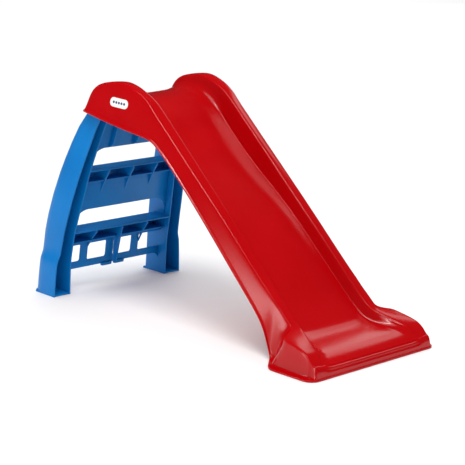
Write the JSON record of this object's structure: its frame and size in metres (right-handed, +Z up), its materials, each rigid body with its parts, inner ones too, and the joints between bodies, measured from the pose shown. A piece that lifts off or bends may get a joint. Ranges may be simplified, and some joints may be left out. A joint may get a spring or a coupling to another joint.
{
  "type": "toddler slide",
  "caption": "Low toddler slide: a raised-side chute with a flared foot, on a hinged ladder of treads that folds in under the chute.",
  "frame": {"origin": "middle of the footprint, on the floor", "axes": "+Z up, +X from the ladder towards the chute's foot, Y across from side to side"},
  "size_m": [0.9906, 0.457, 0.582],
  "materials": {
    "red_plastic": "gloss moulded polyethylene",
    "blue_plastic": "satin moulded polyethylene",
    "label_film": "printed film, blank",
    "pin_plastic": "turned acetal"
  },
  "bodies": {
    "slide": {"chute_bed": "red_plastic", "left_side_rail": "red_plastic", "right_side_rail": "red_plastic", "foot_flange": "red_plastic", "foot_nose": "red_plastic", "left_hinge_pin": "pin_plastic", "right_hinge_pin": "pin_plastic", "left_label": "label_film", "right_label": "label_film"},
    "ladder": {"left_ladder_rail": "blue_plastic", "right_ladder_rail": "blue_plastic", "lower_tread": "blue_plastic", "upper_tread": "blue_plastic", "upper_panel": "blue_plastic", "top_panel": "blue_plastic", "lower_lattice": "blue_plastic"}
  },
  "joints": [
    {"name": "ladder_fold", "type": "hinge", "parent": "slide", "child": "ladder", "pos_m": [-0.3103, 0, 0.545], "axis": [0, -1, 0], "range_deg": [0, 60]}
  ]
}
